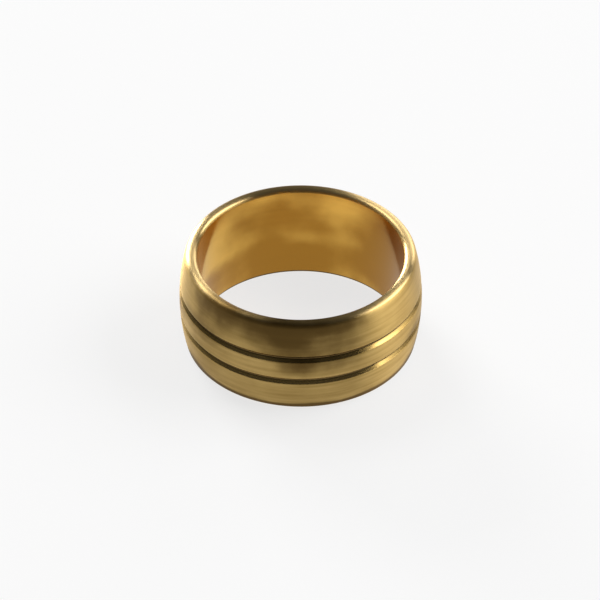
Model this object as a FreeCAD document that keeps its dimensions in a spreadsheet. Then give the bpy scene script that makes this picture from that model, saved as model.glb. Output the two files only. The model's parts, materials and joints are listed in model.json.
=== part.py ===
import FreeCAD, Part
import math
import os
import Sketcher
from FreeCAD import Vector

# Compression olive: one turned brass ring with a barrel-shaped outside, two fine grooves round its
# middle and a plain bore that slides onto a tube. A nut squeezes it until it grips the tube and seals.
# Its axis is Z, and it stands on its lower end at Z = 0. The two ends are alike.

NODE_NAME = "compression_olive"

# Driving dimensions in millimetres: name, size, and what it sets.
SIZES = [
    ("tube_diameter", 15.0, "outside diameter of the tube that the ring slides onto"),
    ("slip_clearance", 0.05, "gap between the tube and the bore, on the radius"),
    ("ring_length", 7.75, "length along the axis, end to end"),
    ("end_wall", 0.8, "wall at each end, from the bore to the barrel, before its edges are broken"),
    ("crown_rise", 0.5, "how far the middle of the barrel stands out beyond its ends"),
    ("groove_spacing", 2.0, "distance along the axis between the middles of the two grooves"),
    ("groove_width", 0.6, "width of a groove where it opens through the barrel"),
    ("groove_depth", 0.28, "depth of a groove's root below the crown"),
    ("groove_root_width", 0.08, "width of the flat at the root of a groove"),
    ("rim_round", 0.5, "radius of the outer edge at each end"),
    ("mouth_chamfer", 0.2, "width and depth of the bevel on the bore's edge at each end"),
]

# Lengths that follow from the driving dimensions.
BORE_RADIUS = "Sizes.tube_diameter / 2 + Sizes.slip_clearance"
CROWN_RADIUS = BORE_RADIUS + " + Sizes.end_wall + Sizes.crown_rise"
HALF_LENGTH = "Sizes.ring_length / 2"
BARREL_ARC = "(Sizes.ring_length ^ 2 / 4 + Sizes.crown_rise ^ 2) / (2 * Sizes.crown_rise)"
ROOT_RADIUS = CROWN_RADIUS + " - Sizes.groove_depth"
INNER_LIP_HEIGHT = "(Sizes.groove_spacing - Sizes.groove_width) / 2"
INNER_ROOT_HEIGHT = "(Sizes.groove_spacing - Sizes.groove_root_width) / 2"
OUTER_ROOT_HEIGHT = "(Sizes.groove_spacing + Sizes.groove_root_width) / 2"
OUTER_LIP_HEIGHT = "(Sizes.groove_spacing + Sizes.groove_width) / 2"

# Two broken edges share each end wall: the bevel takes up to half of it, and the round what is left.
# The barrel leans inwards at the rim, so the round takes less of the wall than its radius, and a flat stays.
MOUTH_BEVEL = "min(Sizes.mouth_chamfer; Sizes.end_wall / 2)"
RIM_ARC = f"min(Sizes.rim_round; Sizes.end_wall - {MOUTH_BEVEL})"

# Numbers by which a sketch knows its own parts.
ORIGIN = -1
RADIAL_AXIS = -1
START = 1
END = 2
CENTRE = 3

FULL_TURN = 360
JOIN_TOLERANCE = 1e-6


def make_sheet(doc):
    sheet = doc.addObject("Spreadsheet::Sheet", "Sizes")
    for row, (name, size, meaning) in enumerate(SIZES, start=1):
        sheet.set(f"A{row}", name)
        sheet.set(f"B{row}", str(size))
        sheet.setAlias(f"B{row}", name)
        sheet.set(f"C{row}", meaning)
    doc.recompute()
    return sheet


def origin_plane(body, role):
    return next(plane for plane in body.Origin.OriginFeatures if plane.Role == role)


def on_circle(centre, radius, angle):
    return centre + Vector(radius * math.cos(angle), radius * math.sin(angle), 0)


def section_points(sheet):
    # Where the lines and arcs in the upper half of the section meet, and one more point on each arc.
    # X is the distance from the ring's axis, and Y the height above the middle of its length.
    bore_radius = sheet.evalExpression(BORE_RADIUS)
    crown_radius = sheet.evalExpression(CROWN_RADIUS)
    root_radius = sheet.evalExpression(ROOT_RADIUS)
    half_length = sheet.evalExpression(HALF_LENGTH)
    barrel_radius = sheet.evalExpression(BARREL_ARC)
    rim_radius = sheet.evalExpression(RIM_ARC)
    bevel = sheet.evalExpression(MOUTH_BEVEL)
    barrel_centre = Vector(crown_radius - barrel_radius, 0, 0)

    def on_barrel(height):
        return on_circle(barrel_centre, barrel_radius, math.asin(height / barrel_radius))

    # The rim's round touches the barrel from inside, so their centres are one difference of radii apart.
    rim_angle = math.asin((half_length - rim_radius) / (barrel_radius - rim_radius))
    rim_centre = on_circle(barrel_centre, barrel_radius - rim_radius, rim_angle)
    outer_lip = on_barrel(sheet.evalExpression(OUTER_LIP_HEIGHT))
    barrel_end = on_circle(barrel_centre, barrel_radius, rim_angle)
    return {
        "crown": Vector(crown_radius, 0, 0),
        "inner_lip": on_barrel(sheet.evalExpression(INNER_LIP_HEIGHT)),
        "inner_root": Vector(root_radius, sheet.evalExpression(INNER_ROOT_HEIGHT), 0),
        "outer_root": Vector(root_radius, sheet.evalExpression(OUTER_ROOT_HEIGHT), 0),
        "outer_lip": outer_lip,
        "barrel_middle": on_barrel((outer_lip.y + barrel_end.y) / 2),
        "barrel_end": barrel_end,
        "rim_middle": on_circle(rim_centre, rim_radius, (rim_angle + math.pi / 2) / 2),
        "end_outer": on_circle(rim_centre, rim_radius, math.pi / 2),
        "end_inner": Vector(bore_radius + bevel, half_length, 0),
        "bore_end": Vector(bore_radius, half_length - bevel, 0),
    }


def mirrored(points):
    return {name: Vector(point.x, -point.y, 0) for name, point in points.items()}


def add_line(sketch, start, end):
    return sketch.addGeometry(Part.LineSegment(start, end))


def add_arc(sketch, start, middle, end):
    return sketch.addGeometry(Part.ArcOfCircle(start, middle, end))


def end_at(sketch, piece, point):
    return START if sketch.getPoint(piece, START).isEqual(point, JOIN_TOLERANCE) else END


def join(sketch, kind, first, second, point):
    ends = (first, end_at(sketch, first, point), second, end_at(sketch, second, point))
    sketch.addConstraint(Sketcher.Constraint(kind, *ends))


def add_size(sketch, name, expression, kind, *where):
    index = sketch.addConstraint(Sketcher.Constraint(kind, *where, sketch.evalExpression(expression)))
    sketch.renameConstraint(index, name)
    sketch.setExpression(f"Constraints.{name}", expression)


def draw_half(sketch, half, points, middle_barrel, bore):
    # One half of the outline, from the middle of the barrel over a groove and round an end to the bore.
    inner_flank = add_line(sketch, points["inner_lip"], points["inner_root"])
    root = add_line(sketch, points["inner_root"], points["outer_root"])
    outer_flank = add_line(sketch, points["outer_root"], points["outer_lip"])
    barrel = add_arc(sketch, points["outer_lip"], points["barrel_middle"], points["barrel_end"])
    rim = add_arc(sketch, points["barrel_end"], points["rim_middle"], points["end_outer"])
    end_face = add_line(sketch, points["end_outer"], points["end_inner"])
    bevel = add_line(sketch, points["end_inner"], points["bore_end"])

    join(sketch, "Coincident", middle_barrel, inner_flank, points["inner_lip"])
    join(sketch, "Coincident", inner_flank, root, points["inner_root"])
    join(sketch, "Coincident", root, outer_flank, points["outer_root"])
    join(sketch, "Coincident", outer_flank, barrel, points["outer_lip"])
    join(sketch, "Tangent", barrel, rim, points["barrel_end"])
    join(sketch, "Tangent", rim, end_face, points["end_outer"])
    join(sketch, "Coincident", end_face, bevel, points["end_inner"])
    join(sketch, "Coincident", bevel, bore, points["bore_end"])
    sketch.addConstraint([
        Sketcher.Constraint("Vertical", root),
        Sketcher.Constraint("Horizontal", end_face),
        Sketcher.Constraint("Coincident", barrel, CENTRE, middle_barrel, CENTRE),
        Sketcher.Constraint("Equal", barrel, middle_barrel),
    ])

    add_size(sketch, f"{half}_rim_arc", RIM_ARC, "Radius", rim)
    add_size(sketch, f"{half}_root_radius", ROOT_RADIUS, "DistanceX", ORIGIN, START, root, START)
    add_size(sketch, f"{half}_bevel_width", MOUTH_BEVEL, "DistanceX", bevel, END, bevel, START)
    heights = [
        ("inner_lip_height", INNER_LIP_HEIGHT, (ORIGIN, START), (inner_flank, START)),
        ("inner_root_height", INNER_ROOT_HEIGHT, (ORIGIN, START), (root, START)),
        ("outer_root_height", OUTER_ROOT_HEIGHT, (ORIGIN, START), (root, END)),
        ("outer_lip_height", OUTER_LIP_HEIGHT, (ORIGIN, START), (outer_flank, END)),
        ("end_height", HALF_LENGTH, (ORIGIN, START), (end_face, START)),
        ("bevel_depth", MOUTH_BEVEL, (bevel, END), (bevel, START)),
    ]
    for name, expression, nearer, farther in heights:
        ends = nearer + farther if half == "upper" else farther + nearer
        add_size(sketch, f"{half}_{name}", expression, "DistanceY", *ends)


def draw_section(sketch, sheet):
    upper = section_points(sheet)
    lower = mirrored(upper)
    middle_barrel = add_arc(sketch, lower["inner_lip"], upper["crown"], upper["inner_lip"])
    bore = add_line(sketch, upper["bore_end"], lower["bore_end"])
    crown = sketch.addGeometry(Part.Point(upper["crown"]), True)
    sketch.addConstraint([
        Sketcher.Constraint("PointOnObject", middle_barrel, CENTRE, RADIAL_AXIS),
        Sketcher.Constraint("PointOnObject", crown, START, RADIAL_AXIS),
        Sketcher.Constraint("PointOnObject", crown, START, middle_barrel),
        Sketcher.Constraint("Vertical", bore),
    ])
    add_size(sketch, "crown_radius", CROWN_RADIUS, "DistanceX", ORIGIN, START, crown, START)
    add_size(sketch, "barrel_arc", BARREL_ARC, "Radius", middle_barrel)
    add_size(sketch, "bore_radius", BORE_RADIUS, "DistanceX", ORIGIN, START, bore, START)
    draw_half(sketch, "upper", upper, middle_barrel, bore)
    draw_half(sketch, "lower", lower, middle_barrel, bore)


def make_olive(doc, sheet):
    body = doc.addObject("PartDesign::Body", "Olive")
    body.Label = NODE_NAME

    # Sketch X runs outwards from the ring's axis, and sketch Y runs along it from mid-length.
    section = body.newObject("Sketcher::SketchObject", "Section")
    section.AttachmentSupport = [(origin_plane(body, "XZ_Plane"), "")]
    section.MapMode = "FlatFace"
    draw_section(section, sheet)
    doc.recompute()
    if not section.FullyConstrained:
        raise RuntimeError("the section is not fully constrained")

    ring = body.newObject("PartDesign::Revolution", "Ring")
    ring.Profile = section
    ring.ReferenceAxis = (section, ["V_Axis"])
    ring.Angle = FULL_TURN

    # Lift the ring so that it stands on its lower end.
    body.setExpression("Placement.Base.z", HALF_LENGTH)
    doc.recompute()
    return body


def check_document(doc, body):
    for item in doc.Objects:
        if "Invalid" in item.State or "Error" in item.State:
            raise RuntimeError(f"{item.Name} failed: {item.State}")
    if body.Shape.isNull() or not body.Shape.isValid():
        raise RuntimeError(f"{body.Label} has no valid shape")
    if len(body.Shape.Solids) != 1:
        raise RuntimeError(f"{body.Label} is not one solid")


def main():
    doc = FreeCAD.newDocument("CompressionOlive")
    sheet = make_sheet(doc)
    olive = make_olive(doc, sheet)
    check_document(doc, olive)
    os.makedirs("parts", exist_ok=True)
    olive.Shape.exportStep(f"parts/{olive.Label}.step")
    box = olive.Shape.optimalBoundingBox(False)
    print(f"{olive.Label}: {box.XLength:.3f} x {box.YLength:.3f} x {box.ZLength:.3f} mm,"
          f" from z = {box.ZMin:.3f}, volume {olive.Shape.Volume:.2f} mm3")


main()
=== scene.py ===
import json
import math

import bmesh
import bpy
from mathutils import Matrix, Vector


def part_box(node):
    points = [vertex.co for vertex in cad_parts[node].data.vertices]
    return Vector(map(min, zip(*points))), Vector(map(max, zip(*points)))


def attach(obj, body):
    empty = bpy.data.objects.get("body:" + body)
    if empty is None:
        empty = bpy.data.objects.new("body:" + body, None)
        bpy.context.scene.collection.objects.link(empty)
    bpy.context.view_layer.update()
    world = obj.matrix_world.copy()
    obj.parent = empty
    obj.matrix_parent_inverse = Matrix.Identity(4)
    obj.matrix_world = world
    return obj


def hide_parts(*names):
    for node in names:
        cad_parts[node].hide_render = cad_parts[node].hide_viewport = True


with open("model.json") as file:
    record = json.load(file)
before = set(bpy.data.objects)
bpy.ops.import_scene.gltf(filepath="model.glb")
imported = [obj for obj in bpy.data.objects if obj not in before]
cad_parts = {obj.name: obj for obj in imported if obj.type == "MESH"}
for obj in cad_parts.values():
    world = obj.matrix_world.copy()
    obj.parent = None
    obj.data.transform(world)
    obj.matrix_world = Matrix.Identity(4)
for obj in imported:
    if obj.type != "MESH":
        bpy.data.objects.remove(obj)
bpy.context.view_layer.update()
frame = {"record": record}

scene = bpy.context.scene
scene.view_settings.view_transform = "Standard"


# the camera looks down on the ring from the front, from so far off that it shows next to no perspective
cameraView = {
    "elevation": 38.4,                # degrees above the floor
    "distanceInRadii": 50.0,          # from the middle of the ring
    "radiusPixels": 121.19,           # outside radius of the ring in the picture
    "middlePixel": (300.69, 294.97),  # where the middle of the ring falls in the picture
    "picturePixels": 600,
    "sensorMm": 36.0,
    "clipRatio": 20,                  # nearest and farthest seen, as a ratio to the distance
}


def placeCamera(view, middle, outsideRadius):
    distance = view["distanceInRadii"] * outsideRadius
    up = math.radians(view["elevation"])
    camData = bpy.data.cameras.new("photo_camera")
    camData.sensor_width = view["sensorMm"]
    pixels = view["picturePixels"]
    camData.lens = view["radiusPixels"] * view["distanceInRadii"] * view["sensorMm"] / pixels
    camData.shift_x = (pixels / 2 - view["middlePixel"][0]) / pixels
    camData.shift_y = (view["middlePixel"][1] - pixels / 2) / pixels
    camData.clip_start = distance / view["clipRatio"]
    camData.clip_end = distance * view["clipRatio"]
    cam = bpy.data.objects.new("photo_camera", camData)
    cam.location = middle + distance * Vector((0, -math.cos(up), math.sin(up)))
    cam.rotation_euler = (middle - cam.location).to_track_quat("-Z", "Y").to_euler()
    scene.collection.objects.link(cam)
    scene.camera = cam


def addNode(tree, kind, values=None, **settings):
    node = tree.nodes.new("ShaderNode" + kind)
    for name, value in settings.items():
        setattr(node, name, value)
    for socket, value in (values or {}).items():
        if isinstance(value, bpy.types.NodeSocket):
            tree.links.new(value, node.inputs[socket])
        else:
            node.inputs[socket].default_value = value
    return node


def workOut(tree, operation, first, second):
    return addNode(tree, "Math", {0: first, 1: second}, operation=operation).outputs["Value"]


def workOutVector(tree, operation, first, second=(0, 0, 0)):
    return addNode(tree, "VectorMath", {0: first, 1: second}, operation=operation).outputs["Vector"]


def mixColours(tree, factor, first, second):
    mix = addNode(tree, "Mix", {"Factor": factor, "A": first, "B": second}, data_type="RGBA")
    return mix.outputs["Result"]


def mixNumbers(tree, factor, first, second):
    return addNode(tree, "Mix", {"Factor": factor, "A": first, "B": second}).outputs["Result"]


def spreadOver(tree, value, low, high, toLow=0.0, toHigh=1.0):
    ends = {"Value": value, "From Min": low, "From Max": high, "To Min": toLow, "To Max": toHigh}
    return addNode(tree, "MapRange", ends, interpolation_type="SMOOTHSTEP").outputs["Result"]


def cloud(tree, place, detail):
    form = {"Vector": place, "Scale": 1.0, "Detail": detail, "Roughness": 0.5}
    return addNode(tree, "TexNoise", form).outputs["Fac"]


# pale floor: a share of it is plain white to the camera and in the metal, the rest takes the shadow
floorSpec = {
    "halfSize": 1.5,                  # metres
    "colour": (0.94, 0.94, 0.94, 1),
    "roughness": 0.7,
    "plainShare": 0.75,
}


def layFloor(spec):
    bm = bmesh.new()
    bmesh.ops.create_grid(bm, x_segments=1, y_segments=1, size=spec["halfSize"])
    mesh = bpy.data.meshes.new("studio_floor")
    bm.to_mesh(mesh)
    bm.free()
    floor = bpy.data.objects.new("studio_floor", mesh)
    scene.collection.objects.link(floor)
    mat = bpy.data.materials.new("pale_floor")
    mat.use_nodes = True
    tree = mat.node_tree
    shader = tree.nodes["Principled BSDF"]
    shader.inputs["Base Color"].default_value = spec["colour"]
    shader.inputs["Roughness"].default_value = spec["roughness"]
    shader.inputs["Specular IOR Level"].default_value = 0.0
    ray = addNode(tree, "LightPath").outputs
    seen = workOut(tree, "MAXIMUM", ray["Is Camera Ray"], ray["Is Glossy Ray"])
    seen = workOut(tree, "MAXIMUM", seen, ray["Is Transmission Ray"])
    share = workOut(tree, "MULTIPLY", seen, spec["plainShare"])
    white = addNode(tree, "Emission", {"Color": (1, 1, 1, 1), "Strength": 1.0})
    mix = addNode(tree, "MixShader", {0: share, 1: shader.outputs["BSDF"], 2: white.outputs["Emission"]})
    tree.links.new(mix.outputs["Shader"], tree.nodes["Material Output"].inputs["Surface"])
    mesh.materials.append(mat)


# softboxes: azimuth counts from the camera's side to the right, radiance is what a mirror would show
softboxes = {
    "right_softbox": {"azimuth": 99, "elevation": 35, "size": (1.12, 0.80), "radiance": 4.1},
    "left_softbox": {"azimuth": -150, "elevation": 14, "size": (0.54, 0.45), "radiance": 15.0},
    "back_softbox": {"azimuth": 157, "elevation": 16, "size": (0.72, 0.51), "radiance": 3.0},
    "fill_softbox": {"azimuth": -141, "elevation": 50, "size": (0.66, 0.46), "radiance": 3.6},
}
softboxDistance = 1.2                 # metres from the middle of the ring


def hangSoftbox(name, spec, middle):
    turn, up = math.radians(spec["azimuth"]), math.radians(spec["elevation"])
    direction = Vector((math.sin(turn) * math.cos(up), -math.cos(turn) * math.cos(up), math.sin(up)))
    lamp = bpy.data.lights.new(name, "AREA")
    lamp.shape = "RECTANGLE"
    lamp.size, lamp.size_y = spec["size"]
    lamp.energy = spec["radiance"] * math.pi * lamp.size * lamp.size_y
    box = bpy.data.objects.new(name, lamp)
    box.location = middle + direction * softboxDistance
    box.rotation_euler = (-direction).to_track_quat("-Z", "Y").to_euler()
    scene.collection.objects.link(box)


# the room: dim on the camera's side, lighter behind the ring
room = {
    "front": (0.065, 0.065, 0.065, 1),
    "back": (0.14, 0.14, 0.14, 1),
    "blend": (-0.3, 0.8),             # from front to back, where one starts to turn into the other, and ends
}


def wrapRoom(spec):
    world = bpy.data.worlds.new("studio_room")
    world.use_nodes = True
    tree = world.node_tree
    direction = addNode(tree, "TexCoord").outputs["Generated"]
    depth = addNode(tree, "SeparateXYZ", {0: direction}).outputs["Y"]
    shade = mixColours(tree, spreadOver(tree, depth, *spec["blend"]), spec["front"], spec["back"])
    tree.links.new(shade, tree.nodes["Background"].inputs["Color"])
    scene.world = world


# the ring, drawn in millimetres: its outside, length and bore come from the frame
oliveSpec = {
    "node": "compression_olive",
    "boreMount": "tube_bore",
    "stepsRound": 320,
    "crownRise": 0.50,
    "barrelCuts": 6,                  # extra points on each stretch of the barrel's arc
    "grooveSpacing": 2.0,
    "grooveWidth": 0.60,
    "grooveDepth": 0.28,
    "grooveRootWidth": 0.08,
    # size: how far from its corner a rounding starts
    "rim": {"size": 0.386, "segments": 8},
    "mouth": {"size": 0.30, "segments": 6},
    "lip": {"size": 0.03, "segments": 2},
    "root": {"size": 0.03, "segments": 2},
    # below each end: how far it is rubbed bright, and where a painted shade starts, is most and stops
    "rubbedTo": 0.12,
    "rimShadeAt": (0.04, 0.20, 0.90),
    "rimShadeAbove": 0.1,            # the upper end's share of that painted shade, which at the lower end is a painted contact shadow
}
metresPerMm = 0.001
sameSpot = 1e-4                       # millimetres


def markFinish(bm, spec, onBarrel, boreRadius, half):
    # shares from 0 to 1 on the outline's points, for the brass to read
    groove, rubbed, paintedRimShade, bored = (bm.verts.layers.float.new(name)
                                        for name in ("groove", "rubbed", "paintedRimShade", "bored"))
    grooveReach = (spec["grooveSpacing"] + spec["grooveWidth"]) / 2 + sameSpot
    starts, most, stops = spec["rimShadeAt"]
    for vert in bm.verts:
        height = abs(vert.co.z)
        below = half - height
        if vert.co.x < boreRadius + sameSpot:
            vert[bored] = 1
        elif height < grooveReach:
            vert[groove] = (onBarrel(height).x - vert.co.x) / spec["grooveDepth"]
        else:
            vert[rubbed] = below < spec["rubbedTo"]
            rimShadeRamp = max(0, min((below - starts) / (most - starts), (stops - below) / (stops - most)))
            # painted shade beside each rim, most at the lower end where the ring stands on the floor
            vert[paintedRimShade] = rimShadeRamp * (spec["rimShadeAbove"] if vert.co.z > 0 else 1)


def measureOutline(bm):
    # how far along the outline each of its points lies, from the lower end of the bore wall
    along = bm.verts.layers.float.new("along")
    vert = min(bm.verts, key=lambda v: (round(v.co.x, 3), v.co.z))
    edge = vert.link_edges[0]
    reach = 0.0
    for step in range(len(bm.verts)):
        vert[along] = reach
        reach += edge.calc_length()
        vert = edge.other_vert(vert)
        edge = next(other for other in vert.link_edges if other != edge)
    return reach


def unroll(bm, stepsRound, outlineLength):
    # one flat strip: across is the way round the ring, up is the way along its outline
    strip = bm.loops.layers.uv.new("OFBake")
    along = bm.verts.layers.float["along"]
    for face in bm.faces:
        spots = []
        for loop in face.loops:
            turn = math.atan2(loop.vert.co.y, loop.vert.co.x) / (2 * math.pi)
            across = round(turn * stepsRound) % stepsRound / stepsRound
            spots.append(Vector((across, loop.vert[along] / outlineLength)))
        for axis in (0, 1):           # a face that closes the strip ends at 1, not at 0
            if max(spot[axis] for spot in spots) > min(spot[axis] for spot in spots) + 0.5:
                for spot in spots:
                    spot[axis] += spot[axis] < 0.5
        for loop, spot in zip(face.loops, spots):
            loop[strip].uv = spot


def turnOlive(spec):
    low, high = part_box(spec["node"])
    half = (high.z - low.z) / 2 / metresPerMm
    crownRadius = min(high.x - low.x, high.y - low.y) / 2 / metresPerMm
    bore = next(mount for mount in frame["record"]["mounts"] if mount["name"] == spec["boreMount"])
    boreRadius = bore["dims"]["r_mm"]
    rise = spec["crownRise"]
    arcRadius = (half ** 2 + rise ** 2) / (2 * rise)

    def onBarrel(height):             # a point on the barrel's arc, by its height above mid-length
        return Vector((crownRadius - arcRadius + math.sqrt(arcRadius ** 2 - height ** 2), 0, height))

    # corners of the section's upper half, from the crown over a groove and round the end to the bore
    grooveMiddle = spec["grooveSpacing"] / 2
    rootRadius = crownRadius - spec["grooveDepth"]
    upper = [
        ("lip", onBarrel(grooveMiddle - spec["grooveWidth"] / 2)),
        ("root", Vector((rootRadius, 0, grooveMiddle - spec["grooveRootWidth"] / 2))),
        ("root", Vector((rootRadius, 0, grooveMiddle + spec["grooveRootWidth"] / 2))),
        ("lip", onBarrel(grooveMiddle + spec["grooveWidth"] / 2)),
        ("rim", onBarrel(half)),
        ("mouth", Vector((boreRadius, 0, half))),
    ]
    lower = [(kind, Vector((spot.x, 0, -spot.z))) for kind, spot in reversed(upper)]
    corners = upper + lower
    bm = bmesh.new()
    bm.faces.new([bm.verts.new(spot) for kind, spot in corners])

    def cornersOf(*kinds):
        spots = [spot for kind, spot in corners if kind in kinds]
        return [vert for vert in bm.verts if min((vert.co - spot).length for spot in spots) < sameSpot]

    # cut the straight stretches of the barrel and push the cuts out to its arc
    ends = cornersOf("lip", "rim")
    stretches = [edge for edge in bm.edges if all(vert in ends for vert in edge.verts)]
    cuts = bmesh.ops.subdivide_edges(bm, edges=stretches, cuts=spec["barrelCuts"])
    for vert in cuts["geom_inner"]:
        vert.co = onBarrel(vert.co.z)

    # break the corners while the section is still flat, then drop its face and spin the outline
    for kind in ("rim", "mouth", "lip", "root"):
        bmesh.ops.bevel(bm, geom=cornersOf(kind), offset=spec[kind]["size"], offset_type="OFFSET",
                        segments=spec[kind]["segments"], profile=0.5, affect="VERTICES", material=-1)
    bmesh.ops.delete(bm, geom=bm.faces[:], context="FACES_ONLY")
    markFinish(bm, spec, onBarrel, boreRadius, half)
    outlineLength = measureOutline(bm)
    bmesh.ops.spin(bm, geom=bm.verts[:] + bm.edges[:], cent=(0, 0, 0), axis=(0, 0, 1), angle=2 * math.pi,
                   steps=spec["stepsRound"], use_merge=True)
    bmesh.ops.remove_doubles(bm, verts=bm.verts[:], dist=sameSpot)
    bmesh.ops.recalc_face_normals(bm, faces=bm.faces[:])
    unroll(bm, spec["stepsRound"], outlineLength)
    bmesh.ops.translate(bm, vec=(0, 0, half), verts=bm.verts[:])
    bmesh.ops.scale(bm, vec=(metresPerMm, metresPerMm, metresPerMm), verts=bm.verts[:])
    for face in bm.faces:
        face.smooth = True
    mesh = bpy.data.meshes.new("turned_olive")
    bm.to_mesh(mesh)
    bm.free()
    ring = bpy.data.objects.new("turned_olive", mesh)
    scene.collection.objects.link(ring)
    print("ring turned:", len(mesh.polygons), "faces, outline", round(outlineLength, 2), "mm long")
    return ring, outlineLength


# brass turned on a lathe, handled and tarnished in patches, which also paint a dark reflection and shade
brass = {
    "clean": (0.64, 0.44, 0.158, 1),
    "dull": (0.40, 0.255, 0.072, 1),
    "rubbed": (0.66, 0.47, 0.20, 1),
    # tarnish, also a painted dark reflection on the upper front of the barrel
    "tarnishAndReflectionColour": (0.165, 0.098, 0.027, 1),
    # the bore's brass, painted deeper orange than the outside for light bouncing round inside it
    "bored": (0.82, 0.49, 0.10, 1),
    "stainAndShadeColour": (0.385, 0.185, 0.027, 1),  # in the bore: stains, partly painted shade
    "grooveRootDark": (0.09, 0.055, 0.02, 1),   # darker in the roots of the grooves
    "roughness": {"turned": 0.42, "bored": 0.17, "rubbed": 0.30, "grooved": 0.18, "spread": 0.06},
    "anisotropy": 0.95,
    "anisotropyTurn": 0.25,           # of a full turn: highlights stretch along the ring's axis
    "patches": {                      # the shift moves them over the ring
        "dull": {"sizeMm": (4.2, 4.2, 4.2), "shift": (14.73, 37.77, 44.54), "detail": 6.0},
        # the tarnish patches are placed so they also paint a dark reflection on the upper front of the
        # barrel
        "tarnishAndReflection": {"sizeMm": (13.1, 13.1, 4.6), "shift": (3.96, 41.15, 27.37), "detail": 2.0},
        # the stain patches are placed so they also paint shade in the bore
        "stainAndShade": {"sizeMm": (10.3, 10.3, 5.5), "shift": (6.46, 50.29, 9.28), "detail": 2.0},
    },
    "ragged": 0.24,                   # share of the dull patches in the tarnish and the stains, which also paint reflection and shade
    "rimShadeStrength": 0.41,         # painted shade beside the rims, added to the tarnish
    "streaks": {"widthMm": 0.25, "run": 1.5, "detail": 4.0},  # run: how soon one changes on its way round
    "streakDepth": 0.7e-6,            # metres
    "streakShare": 0.5,               # of the unevenness: the rest is dull patches
    # where in its pattern each begins, and where it is full
    "dullRange": (0.25, 0.75),
    "roughRange": (0.3, 0.7),
    "tarnishAndReflectionRange": (0.51, 0.645),
    "stainAndShadeRange": (0.37, 0.585),
    # the same for a groove, as shares of its depth
    "cutRange": (0.02, 0.15),
    "grooveRootDarkRange": (0.5, 1.0),
}


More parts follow.
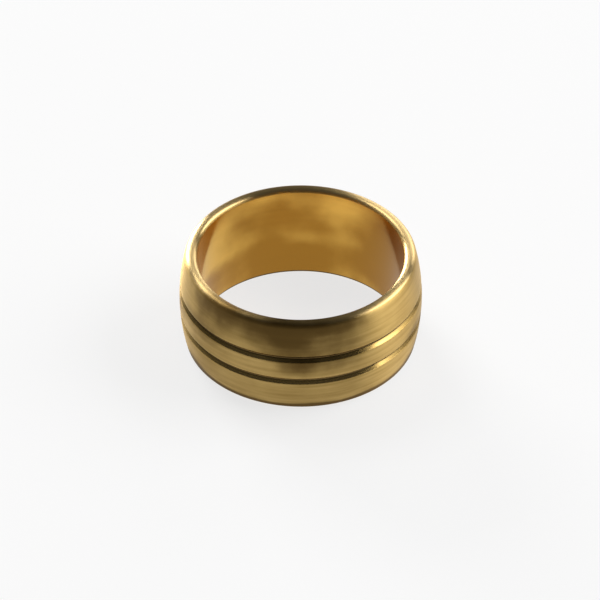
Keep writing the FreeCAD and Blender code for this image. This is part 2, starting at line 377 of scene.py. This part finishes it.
def turnedBrass(spec, outlineLength):
    mat = bpy.data.materials.new("turned_brass")
    mat.use_nodes = True
    tree = mat.node_tree
    shader = tree.nodes["Principled BSDF"]
    shader.inputs["Metallic"].default_value = 1.0
    shader.inputs["Anisotropic"].default_value = spec["anisotropy"]
    shader.inputs["Anisotropic Rotation"].default_value = spec["anisotropyTurn"]
    tangent = addNode(tree, "Tangent", direction_type="RADIAL", axis="Z")
    tree.links.new(tangent.outputs["Tangent"], shader.inputs["Tangent"])

    def share(name):
        return addNode(tree, "Attribute", attribute_name=name).outputs["Fac"]

    # turning streaks: long on the way round, fine on the way along the outline
    place = addNode(tree, "TexCoord").outputs["Object"]
    around = workOutVector(tree, "NORMALIZE", workOutVector(tree, "MULTIPLY", place, (1, 1, 0)))
    run = workOutVector(tree, "MULTIPLY", around, [spec["streaks"]["run"]] * 3)
    strip = addNode(tree, "UVMap", uv_map="OFBake").outputs["UV"]
    along = addNode(tree, "SeparateXYZ", {0: strip}).outputs["Y"]
    rows = workOut(tree, "MULTIPLY", along, outlineLength / spec["streaks"]["widthMm"])
    lift = addNode(tree, "CombineXYZ", {"Z": rows}).outputs["Vector"]
    streak = cloud(tree, workOutVector(tree, "ADD", run, lift), spec["streaks"]["detail"])

    def patches(name):
        form = spec["patches"][name]
        fineness = [1 / (size * metresPerMm) for size in form["sizeMm"]]
        spread = workOutVector(tree, "MULTIPLY", place, fineness)
        return cloud(tree, workOutVector(tree, "ADD", spread, form["shift"]), form["detail"])

    dull = patches("dull")
    uneven = mixNumbers(tree, spec["streakShare"], dull, streak)
    dullness = spreadOver(tree, uneven, *spec["dullRange"])

    # broad patches with ragged edges: tarnish, partly a painted dark reflection, and the bore's stains,
    # partly painted shade
    # painted shade beside the rims, added to the tarnish
    rimShadeAdded = workOut(tree, "MULTIPLY", share("paintedRimShade"), spec["rimShadeStrength"])
    # the tarnish patches, also a painted dark reflection on the upper front of the barrel
    tarnishAndReflection = mixNumbers(tree, spec["ragged"], patches("tarnishAndReflection"), dull)
    tarnishAndReflection = spreadOver(tree, workOut(tree, "ADD", tarnishAndReflection, rimShadeAdded), *spec["tarnishAndReflectionRange"])
    # the bore's stains, partly painted shade
    stainAndShade = mixNumbers(tree, spec["ragged"], patches("stainAndShade"), dull)
    stainAndShade = spreadOver(tree, stainAndShade, *spec["stainAndShadeRange"])

    # from the barrel to the ends, the bore and the roots of the grooves
    colour = mixColours(tree, dullness, spec["clean"], spec["dull"])
    colour = mixColours(tree, share("rubbed"), colour, spec["rubbed"])
    # tarnish and painted dark reflection, with the painted shade beside the rims
    colour = mixColours(tree, tarnishAndReflection, colour, spec["tarnishAndReflectionColour"])
    # the bore's colour paints its bounce light, and its stains are partly painted shade
    boreColour = mixColours(tree, stainAndShade, spec["bored"], spec["stainAndShadeColour"])
    colour = mixColours(tree, share("bored"), colour, boreColour)
    # darker towards the roots of the grooves
    grooveRootDark = spreadOver(tree, share("groove"), *spec["grooveRootDarkRange"])
    colour = mixColours(tree, grooveRootDark, colour, spec["grooveRootDark"])
    tree.links.new(colour, shader.inputs["Base Color"])

    rough = mixNumbers(tree, share("rubbed"), spec["roughness"]["turned"], spec["roughness"]["rubbed"])
    rough = mixNumbers(tree, share("bored"), rough, spec["roughness"]["bored"])
    cut = spreadOver(tree, share("groove"), *spec["cutRange"])
    rough = mixNumbers(tree, cut, rough, spec["roughness"]["grooved"])
    swing = spec["roughness"]["spread"] / 2
    rough = workOut(tree, "ADD", rough, spreadOver(tree, uneven, *spec["roughRange"], -swing, swing))
    tree.links.new(rough, shader.inputs["Roughness"])

    bump = addNode(tree, "Bump", {"Height": streak, "Distance": spec["streakDepth"]})
    tree.links.new(bump.outputs["Normal"], shader.inputs["Normal"])
    return mat


low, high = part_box(oliveSpec["node"])
ringMiddle = (low + high) / 2
placeCamera(cameraView, ringMiddle, (high.x - low.x) / 2)
layFloor(floorSpec)
for boxName, boxSpec in softboxes.items():
    hangSoftbox(boxName, boxSpec, ringMiddle)
wrapRoom(room)
print("stage set:", len(softboxes), "softboxes")

oliveRing, outlineMm = turnOlive(oliveSpec)
oliveRing.data.materials.append(turnedBrass(brass, outlineMm))
print("brass on")
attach(oliveRing, "root")
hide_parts(oliveSpec["node"])
